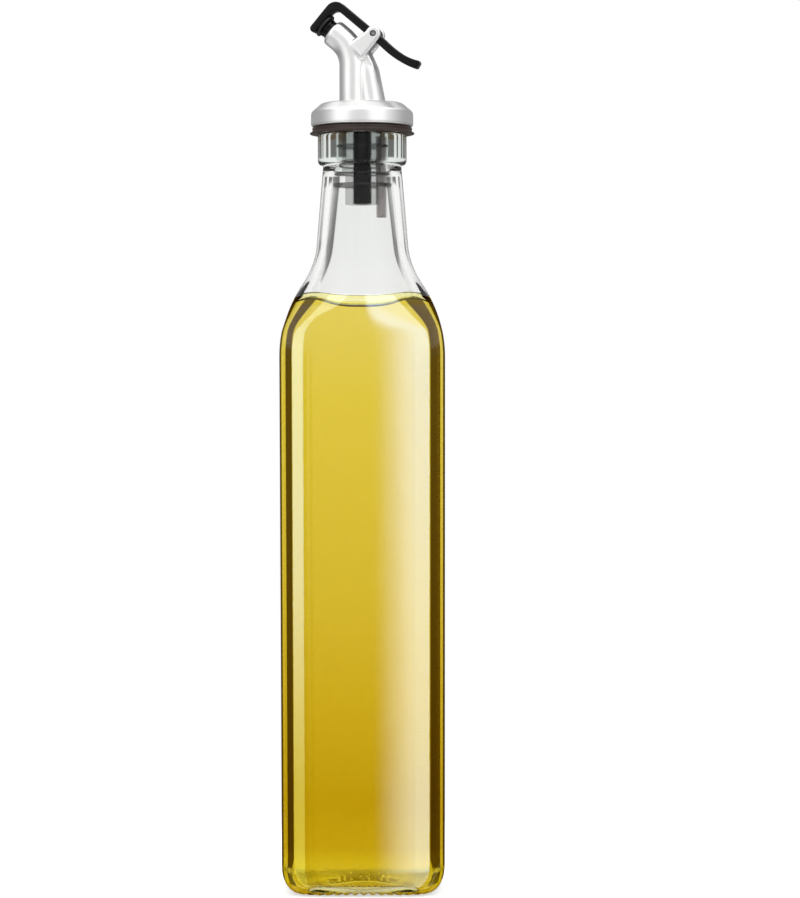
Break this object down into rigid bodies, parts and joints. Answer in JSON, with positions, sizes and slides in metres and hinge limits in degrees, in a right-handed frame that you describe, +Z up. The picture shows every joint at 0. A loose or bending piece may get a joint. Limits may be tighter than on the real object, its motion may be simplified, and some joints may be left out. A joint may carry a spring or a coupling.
{
  "type": "oil dispenser bottle",
  "caption": "Tall square glass bottle filled with golden oil, with a silver pourer cap, bent nozzle and a black flip lever that opens it.",
  "frame": {"origin": "middle of the bottle's foot, on the surface it stands on", "axes": "+Z up along the bottle's axis; -Y is the side the picture shows, square to a flat side of the glass; the nozzle points towards -X and the lever's tail towards +X"},
  "size_m": [0.0576, 0.0576, 0.3101],
  "materials": {
    "clear_glass": "clear flint glass, polished outside",
    "golden_oil": "clear golden oil",
    "clear_plastic": "translucent soft plastic",
    "smoked_plastic": "smoked black plastic",
    "black_rubber": "smooth black rubber",
    "brown_rubber": "dark brown rubber, satin",
    "satin_silver": "satin silver lacquer on a plastic moulding",
    "black_plastic": "glossy black moulding",
    "pin_steel": "plain steel pin"
  },
  "bodies": {
    "bottle": {"bottle": "clear_glass", "oil": "golden_oil", "stopper": "clear_plastic", "pour_core": "smoked_plastic", "valve_plug": "black_rubber", "air_tube": "clear_plastic", "gasket": "brown_rubber", "pourer_head": "satin_silver", "nozzle_tip": "black_plastic", "hinge_pin": "pin_steel"},
    "lever": {"lever": "black_plastic", "lever_seal": "black_rubber"}
  },
  "joints": [
    {"name": "lever_hinge", "type": "hinge", "parent": "bottle", "child": "lever", "pos_m": [0.00473, -0.00092, 0.2984], "axis": [0.1908, 0.9816, 0], "range_deg": [0, 34]}
  ]
}
